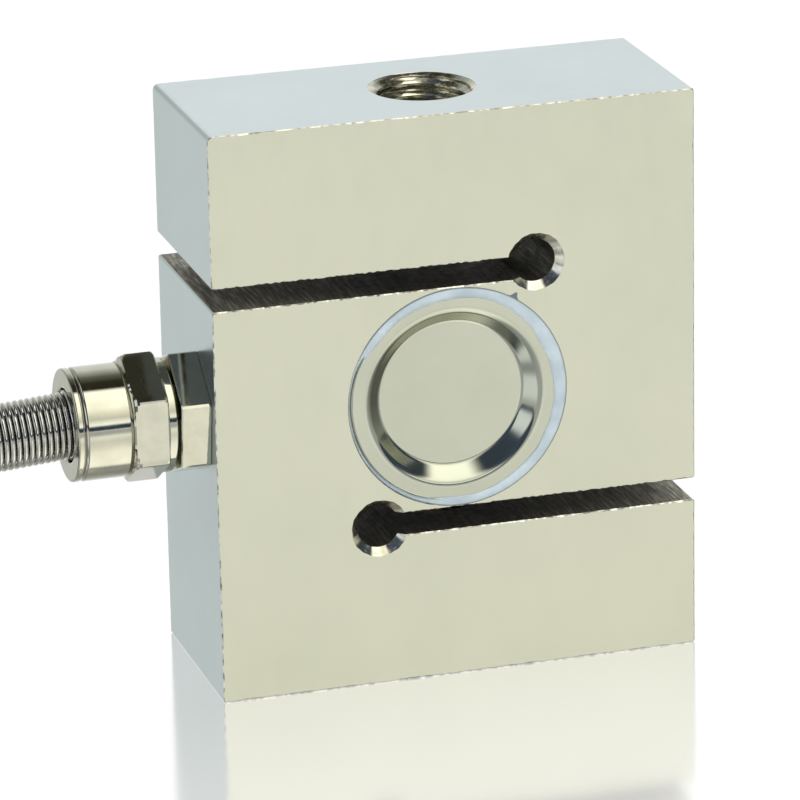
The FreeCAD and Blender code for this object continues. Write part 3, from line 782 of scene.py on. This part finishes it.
def cap_nut():
    """Hexagon with turned corners, and the long sleeve with its groove and rolled rim."""
    corner = nut_hex / math.sqrt(3) - 0.04
    stations = [(collar_end - 0.01, 0.1, corner - 0.35), (collar_end - 0.16, 0.0, corner - 0.12),
                (collar_end - 0.4, 0.0, corner)]
    stations += [(nut_hex_end + 0.75, 0.0, corner), (nut_hex_end + 0.45, 0.0, corner - 0.18),
                 (nut_hex_end + 0.2, 0.0, corner - 0.45), (nut_hex_end, 0.06, sleeve_r + 0.06)]
    hexagon = hex_solid("nut_hexagon", nut_hex, nut_hex_turn, stations, spigot_r + 0.02)
    add_piece("nut_hexagon", hexagon, "nickel_brass", ["gland_cap_nut"])
    groove = sleeve_end - groove_wide / 2
    rim_from = sleeve_end - groove_wide
    end = gland_end.x
    outer = [(nut_hex_end + 0.05, sleeve_r - 0.25), (nut_hex_end - 0.25, sleeve_r - 0.12),
             (nut_hex_end - 0.4, sleeve_r), (sleeve_end + 0.15, sleeve_r), (sleeve_end, sleeve_r - 0.08),
             (groove, sleeve_r - groove_deep), (rim_from, sleeve_r - 0.1),
             (rim_from - 0.12, sleeve_r - 0.02)]
    roll = 0.22
    for k in range(7):
        angle = math.radians(15 * k)
        outer.append((end + roll - roll * math.sin(angle), sleeve_r - roll + roll * math.cos(angle) - 0.02))
    mouth = guard_r + 0.35
    outer += [(end, mouth + 0.35), (end + 0.1, mouth + 0.1), (end + 0.35, mouth), (end + 0.8, mouth),
              (end + 0.8, 5.15), (spigot_end - 1.8, 5.15), (spigot_end - 1.8, 3.4), (spigot_end - 1.0, 3.4),
              (spigot_end - 1.0, spigot_r + 0.02), (nut_hex_end + 0.05, spigot_r + 0.02)]
    sleeve = turned("nut_sleeve", (0, gland_y, gland_z), "X", outer, 144, closed=True, smooth=35)
    add_piece("nut_sleeve", sleeve, "nickel_brass")


# ---- Spring guard ---------------------------------------------------------------------
def guard_axis(distance):
    """Point on the spring guard's axis, measured outwards from the gland's end face."""
    return gland_end - Vector((math.cos(guard_droop), 0, math.sin(guard_droop))) * distance


def spring_guard():
    """Close-wound round wire, with wider turns trapped inside the nut."""
    turns_inside, steps = 3, 30
    middle_r = guard_r - guard_wire / 2
    out = Vector((0, 1, 0))
    up = Vector((-math.sin(guard_droop), 0, math.cos(guard_droop)))
    path = []
    for step in range((guard_turns + turns_inside) * steps + 1):
        turn = step / steps - turns_inside
        flare = 0.55 * min(1.0, max(0.0, -0.5 - turn))
        angle = 2 * math.pi * turn
        uneven = 0.03 * noise.noise(Vector((math.floor(turn) * 1.7, 3.1, 0)))
        radius = middle_r + flare
        path.append(guard_axis(turn * guard_pitch + uneven + 0.02)
                    + out * radius * math.cos(angle) + up * radius * math.sin(angle))
    mesh = swept("guard_spring", path, guard_wire / 2, 10)
    return add_piece("guard_spring", mesh, "spring_wire", ["spring_guard"])


# ---- Cable ----------------------------------------------------------------------------
def coil_points():
    """Six flat spirals, inwards and outwards by turns, each one diameter below the last."""
    spiral = (coil_outer - coil_inner) / coil_pitch
    drop = (coil_turns - coil_layers * spiral) / (coil_layers - 1)
    steps = round(coil_turns * coil_steps)
    points = []
    for step in range(steps + 1):
        travelled = coil_turns * step / steps
        layer = min(int(travelled / (spiral + drop)), coil_layers - 1)
        within = travelled - layer * (spiral + drop)
        along = min(within / spiral, 1.0)
        if layer % 2:
            along = 1.0 - along
        sink = min(max((within - spiral) / drop, 0.0), 1.0)
        sink = sink * sink * (3 - 2 * sink)
        radius = coil_outer + (coil_inner - coil_outer) * along
        angle = coil_lead - math.pi / 2 - 2 * math.pi * travelled
        height = (coil_layers - 0.5 - layer - sink) * cable_dia
        points.append(coil_centre + Vector((radius * math.cos(angle), radius * math.sin(angle), height)))
    return points


def nurbs_piece(name, points, radius, slot, replaced):
    """Round cord along a smooth line drawn by its control points."""
    data = bpy.data.curves.new(name, "CURVE")
    data.dimensions = "3D"
    data.bevel_depth, data.bevel_resolution = radius * MM, 5
    data.use_fill_caps = True
    spline = data.splines.new("NURBS")
    spline.points.add(len(points) - 1)
    for spot, point in zip(spline.points, points):
        spot.co = (*(point * MM), 1)
    spline.order_u = 3
    spline.use_endpoint_u = True
    spline.resolution_u = 4
    data.materials.append(materials[slot])
    piece = bpy.data.objects.new(name, data)
    bpy.context.scene.collection.objects.link(piece)
    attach(piece, "root")
    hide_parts(*replaced)
    return piece


def cable():
    """From inside the gland through the guard, round the coil and out to the bare end."""
    turns = coil_points()
    slant = Vector((math.cos(coil_lead), math.sin(coil_lead), 0))
    tail_slant = Vector((slant.x, -slant.y, 0))
    coil_in, coil_out = turns[0] + slant * coil_stub, turns[-1] + tail_slant * coil_stub
    route = [Vector((-32.0, gland_y, gland_z)), guard_axis(0), guard_axis(20.0), coil_in + slant * 13.0,
             coil_in]
    tail = [coil_out, coil_out + tail_slant * 8.0, coil_out + tail_slant * 16.0 + Vector((0, 0, 0.75))]
    piece = nurbs_piece("sensor_cable", route + turns + tail, cable_dia / 2, "cable_jacket",
                        ["cable", "cable_coil", "cable_tail"])


def cable_tie():
    """Nylon strap round the coil's section on the side away from the block."""
    low, high = (Vector(corner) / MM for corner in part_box("cable_tie"))
    thick, wide = 0.9, 4.5
    strap_end = high.x - 2 * thick
    bottom, roof = 0.0, high.z
    y = (low.y + high.y) / 2
    outside = rounded([(strap_end, bottom), (low.x, bottom), (low.x, roof), (strap_end, roof)], 2.2, 5)
    inside = rounded([(strap_end - thick, bottom + thick), (low.x + thick, bottom + thick),
                      (low.x + thick, roof - thick), (strap_end - thick, roof - thick)], 1.6, 5)
    points = []
    for loop, along in ((outside, -1), (outside, 1), (inside, 1), (inside, -1)):
        points += [(x, y + along * wide / 2, z) for x, z in loop]
    count = len(outside)
    strap = mesh_of("tie_strap", points, grid_faces(4, count, round_rows=True), 30)
    add_piece("tie_strap", strap, "tie_nylon", ["cable_tie"])


# ---- Studio ---------------------------------------------------------------------------
def camera():
    """Long lens at the photograph's viewing angle."""
    yaw, rise, roll = math.radians(-16.67), math.radians(18.70), math.radians(-1.13)
    back = Vector((math.sin(yaw) * math.cos(rise), -math.cos(yaw) * math.cos(rise), math.sin(rise)))
    right = (-back).cross(Vector((0, 0, 1))).normalized()
    up = right.cross(-back)
    right, up = (right * math.cos(roll) + up * math.sin(roll),
                 up * math.cos(roll) - right * math.sin(roll))
    data = bpy.data.cameras.new("camera")
    data.lens, data.sensor_width = 246.83, 36.0
    data.clip_start, data.clip_end = 0.01, 50
    view = bpy.data.objects.new("camera", data)
    bpy.context.scene.collection.objects.link(view)
    place = Matrix((right, up, back)).transposed().to_4x4()
    place.translation = Vector((-184.66, -605.03, 245.09)) * MM
    view.matrix_world = place
    bpy.context.scene.camera = view


def floor():
    """Pale polished studio floor, a little duller in front of the block."""
    half, below = 3000, 0.02
    mesh = bpy.data.meshes.new("studio_floor")
    mesh.from_pydata([Vector((x, y, -below)) * MM for x, y in
                      ((-half, -half), (half, -half), (half, half), (-half, half))], [], [(0, 1, 2, 3)])
    piece = bpy.data.objects.new("studio_floor", mesh)
    bpy.context.scene.collection.objects.link(piece)
    material = bpy.data.materials.new("studio_floor")
    material.use_nodes = True
    tree = material.node_tree
    tree.nodes.clear()
    gloss = add_node(tree, "BsdfGlossy", {"Roughness": 0.12})
    glow = add_node(tree, "Emission")
    place = add_node(tree, "TexCoord").outputs["Object"]
    axes = add_node(tree, "SeparateXYZ", {0: place}).outputs
    dull_from, dull_to = -face * MM, -85 * MM
    for near, away, socket in ((0.66, 0.50, gloss.inputs["Color"]), (0.36, 0.594, glow.inputs["Strength"])):
        ahead = add_node(tree, "MapRange", {"Value": axes["Y"], "From Min": dull_from, "From Max": dull_to,
                                            "To Min": near, "To Max": away})
        tree.links.new(ahead.outputs[0], socket)
    total = add_node(tree, "AddShader")
    tree.links.new(gloss.outputs[0], total.inputs[0])
    tree.links.new(glow.outputs[0], total.inputs[1])
    out = add_node(tree, "OutputMaterial")
    tree.links.new(total.outputs[0], out.inputs["Surface"])
    mesh.materials.append(material)


def sky_ramp(tree, angle, stops):
    """Colour ramp over the angle from the front horizon, over the top, to the rear one."""
    ramp = tree.nodes.new("ShaderNodeValToRGB")
    tree.links.new(angle, ramp.inputs["Fac"])
    elements = ramp.color_ramp.elements
    for k, (degrees, colour) in enumerate(stops):
        element = elements[k] if k < 2 else elements.new(degrees / 180)
        element.position, element.color = degrees / 180, (*colour, 1)
    return ramp.outputs["Color"]


def sky():
    """White surroundings under a dark ceiling, with a wide soft box above the front and two
    bright panels on the left."""
    world = bpy.data.worlds.new("studio")
    world.use_nodes = True
    tree = world.node_tree

    def arithmetic(operation, first, second):
        return add_node(tree, "Math", {0: first, 1: second}, operation=operation).outputs[0]

    def step(value, start, end):
        return add_node(tree, "MapRange", {"Value": value, "From Min": start, "From Max": end},
                        interpolation_type="SMOOTHSTEP").outputs[0]

    place = add_node(tree, "TexCoord").outputs["Generated"]
    x, y, z = add_node(tree, "SeparateXYZ", {0: place}).outputs
    forward = arithmetic("MULTIPLY", y, -1.0)
    angle = arithmetic("DIVIDE", arithmetic("ARCTAN2", z, forward), math.pi)
    # Straight ahead: horizon line, soft box, dark ceiling, then the white rear wall.
    middle = sky_ramp(tree, angle, ((0, (1.0, 1.0, 1.0)), (180, (1.0, 1.0, 1.0)), (1.5, (0.05, 0.08, 0.13)),
                                    (8, (0.05, 0.08, 0.12)), (12, (1.80, 1.80, 1.72)),
                                    (17, (1.46, 1.46, 1.40)), (23, (1.04, 1.03, 0.92)),
                                    (33, (1.40, 1.37, 1.23)), (45, (1.95, 1.92, 1.75)),
                                    (80, (2.2, 2.15, 2.0)), (87, (0.035, 0.033, 0.022)),
                                    (104, (0.05, 0.048, 0.036)), (120, (0.20, 0.20, 0.17)),
                                    (136, (0.62, 0.65, 0.64)), (148, (0.95, 0.98, 0.98)),
                                    (154, (1.0, 1.0, 1.0))))
    # To the sides: no soft box, and a greyer rear wall.
    sides = sky_ramp(tree, angle, ((0, (0.7, 0.7, 0.7)), (180, (0.57, 0.60, 0.57)), (3, (0.05, 0.07, 0.12)),
                                   (30, (0.08, 0.11, 0.17)), (84, (0.05, 0.065, 0.09)),
                                   (94, (0.05, 0.046, 0.032)), (125, (0.05, 0.048, 0.034)),
                                   (140, (0.46, 0.50, 0.48))))
    inside = arithmetic("MULTIPLY", step(x, -0.22, 0.08), step(x, 0.72, 0.56))
    around = mix(tree, inside, sides, middle)
    low_panel = arithmetic("MULTIPLY", step(x, -0.74, -0.86), step(z, 0.05, 0.16))
    low_panel = arithmetic("MULTIPLY", low_panel, step(z, 0.55, 0.42))
    high_panel = arithmetic("MULTIPLY", step(x, -0.48, -0.62), step(z, 0.60, 0.72))
    high_panel = arithmetic("MULTIPLY", high_panel, step(y, -0.30, -0.14))
    panels = arithmetic("MAXIMUM", low_panel, high_panel)
    background = tree.nodes["Background"]
    tree.links.new(mix(tree, panels, around, (1.15, 1.22, 1.32, 1)), background.inputs["Color"])
    background.inputs["Strength"].default_value = 1.0
    bpy.context.scene.world = world


def fill_light():
    """Soft light from the front left, which nothing shiny reflects."""
    data = bpy.data.lights.new("fill_box", "AREA")
    data.shape, data.size, data.size_y = "RECTANGLE", 900 * MM, 900 * MM
    data.energy = 9
    lamp = bpy.data.objects.new("fill_box", data)
    bpy.context.scene.collection.objects.link(lamp)
    lamp.visible_glossy = False
    lamp.location = Vector((-300, -900, 700)) * MM
    lamp.rotation_mode = "QUATERNION"
    lamp.rotation_quaternion = (Vector((0, 0, 35)) * MM - lamp.location).to_track_quat("-Z", "Y")


def dress_kept_nodes():
    """Gives each CAD node that stays the finish of its material slot."""
    for part in frame["record"]["subparts"]:
        node = bpy.data.objects.get(part["node"])
        if node is None or node.type != "MESH":
            continue
        for slot in node.material_slots:
            slot.material = materials[part["material_slot"]]


materials = all_materials()
camera()
floor()
sky()
fill_light()
bpy.context.scene.view_settings.view_transform = "Standard"
dress_kept_nodes()
block()
for which, way in (("front", -1), ("rear", 1)):
    seal_cup(which + "_cover", way)
    sealant(which + "_sealant", way)
gland_body()
cap_nut()
spring_guard()
cable_tie()
cable()
